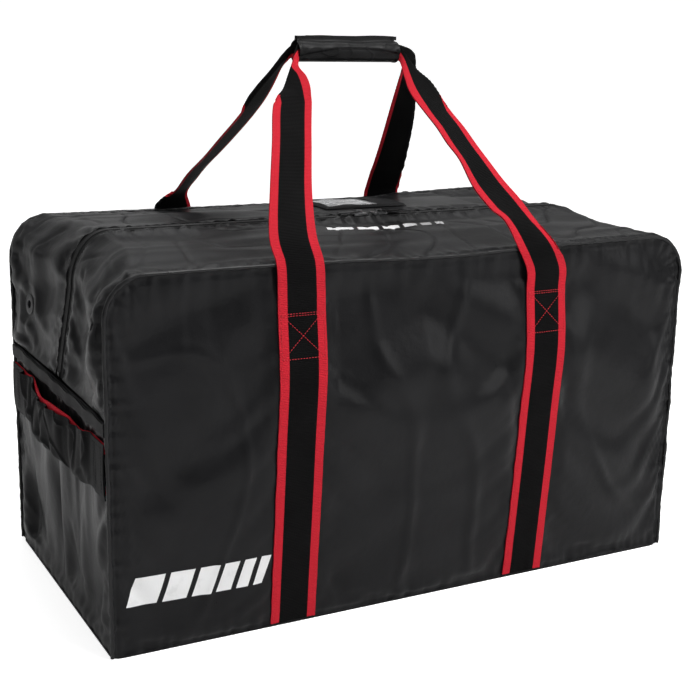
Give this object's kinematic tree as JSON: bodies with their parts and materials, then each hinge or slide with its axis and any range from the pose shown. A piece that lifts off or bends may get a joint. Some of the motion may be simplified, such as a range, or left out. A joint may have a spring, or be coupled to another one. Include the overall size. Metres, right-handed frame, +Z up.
{
  "type": "hockey equipment bag",
  "caption": "Large soft box bag for hockey gear: zipped top that opens as two lips, two long carry handles joined by a wrap, end handles and a name card pocket.",
  "frame": {"origin": "under the middle of the base, on the surface the bag stands on", "axes": "+Z up, +X along the bag from its left end to its right end, -Y the front"},
  "size_m": [0.845, 0.4348, 0.7],
  "materials": {
    "coated_fabric": "black PVC-coated polyester, soft semi-matte sheen, fine emboss",
    "trim": "black folded binding over cord, slight sheen",
    "hook_and_loop": "black hook-and-loop tape, matte",
    "webbing": "black ribbed polyester webbing with red edges",
    "zip_tape": "black woven zip tape, matte",
    "zip_coil": "black nylon coil",
    "slider_metal": "dull nickel plate",
    "pull": "black moulded pull tab",
    "eyelet": "black moulded eyelet",
    "window": "clear soft vinyl",
    "card": "grey card, printed blank boxes"
  },
  "bodies": {
    "shell": {"front_panel": "coated_fabric", "back_panel": "coated_fabric", "base_panel": "coated_fabric", "end_panel_left": "coated_fabric", "end_panel_right": "coated_fabric", "gusset_left_front": "coated_fabric", "gusset_left_back": "coated_fabric", "gusset_right_front": "coated_fabric", "gusset_right_back": "coated_fabric", "end_hem_left": "trim", "end_hem_right": "trim", "piping_front": "trim", "piping_back": "trim", "strap_front_left": "webbing", "strap_front_right": "webbing", "strap_back_left": "webbing", "strap_back_right": "webbing", "end_strap_left_front": "webbing", "end_strap_left_back": "webbing", "end_strap_right_front": "webbing", "end_strap_right_back": "webbing", "zip_end_tape_left_front": "zip_tape", "zip_end_tape_left_back": "zip_tape", "zip_end_tape_right_front": "zip_tape", "zip_end_tape_right_back": "zip_tape", "zip_end_coil_left": "zip_coil", "zip_end_coil_right": "zip_coil", "zip_stop_left": "zip_coil", "zip_stop_right": "zip_coil", "eyelet_left": "eyelet", "eyelet_right": "eyelet", "eyelet_washer_left": "eyelet", "eyelet_washer_right": "eyelet"},
    "mouth_front": {"lip_front": "coated_fabric", "zip_tape_front": "zip_tape", "zip_coil_front": "zip_coil"},
    "mouth_back": {"lip_back": "coated_fabric", "zip_tape_back": "zip_tape", "zip_coil_back": "zip_coil", "pocket_frame": "coated_fabric", "pocket_window": "window"},
    "slider_left": {"slider_left": "slider_metal"},
    "slider_right": {"slider_right": "slider_metal"},
    "pull_left": {"pull_left": "pull"},
    "pull_right": {"pull_right": "pull"},
    "carry_front": {"handle_front": "webbing", "wrap_front": "coated_fabric", "wrap_hook_tape": "hook_and_loop"},
    "carry_back": {"handle_back": "webbing", "wrap_back": "coated_fabric", "wrap_loop_tape": "hook_and_loop"},
    "end_handle_left": {"end_handle_left": "webbing", "end_cover_left": "coated_fabric"},
    "end_handle_right": {"end_handle_right": "webbing", "end_cover_right": "coated_fabric"},
    "name_card": {"name_card": "card"}
  },
  "joints": [
    {"name": "mouth_front_fold", "type": "hinge", "parent": "shell", "child": "mouth_front", "pos_m": [0, -0.203, 0.447], "axis": [1, 0, 0], "range_deg": [0, 34]},
    {"name": "mouth_back_fold", "type": "hinge", "parent": "shell", "child": "mouth_back", "pos_m": [0, 0.203, 0.447], "axis": [-1, 0, 0], "range_deg": [0, 34]},
    {"name": "slider_left_run", "type": "slide", "parent": "mouth_front", "child": "slider_left", "axis": [-1, 0, 0], "range_m": [0, 0.333]},
    {"name": "slider_right_run", "type": "slide", "parent": "mouth_front", "child": "slider_right", "axis": [1, 0, 0], "range_m": [0, 0.271]},
    {"name": "pull_left_swing", "type": "hinge", "parent": "slider_left", "child": "pull_left", "pos_m": [0.016, 0, 0.4702], "axis": [0, 1, 0], "range_deg": [0, 150]},
    {"name": "pull_right_swing", "type": "hinge", "parent": "slider_right", "child": "pull_right", "pos_m": [0.046, 0, 0.4702], "axis": [0, -1, 0], "range_deg": [0, 150]},
    {"name": "carry_front_swing", "type": "hinge", "parent": "shell", "child": "carry_front", "pos_m": [0, -0.21113, 0.392], "axis": [1, 0, 0], "range_deg": [0, 162]},
    {"name": "carry_back_swing", "type": "hinge", "parent": "shell", "child": "carry_back", "pos_m": [0, 0.21113, 0.392], "axis": [-1, 0, 0], "range_deg": [0, 162]},
    {"name": "end_handle_left_lift", "type": "hinge", "parent": "shell", "child": "end_handle_left", "pos_m": [-0.4051, 0, 0.259], "axis": [0, 1, 0], "range_deg": [0, 75]},
    {"name": "end_handle_right_lift", "type": "hinge", "parent": "shell", "child": "end_handle_right", "pos_m": [0.4051, 0, 0.259], "axis": [0, -1, 0], "range_deg": [0, 75]},
    {"name": "name_card_pull", "type": "slide", "parent": "mouth_back", "child": "name_card", "axis": [1, 0, 0], "range_m": [0, 0.115]}
  ],
  "couplings": [
    {"joint": "mouth_back_fold", "follows": "mouth_front_fold", "ratio": 1}
  ]
}
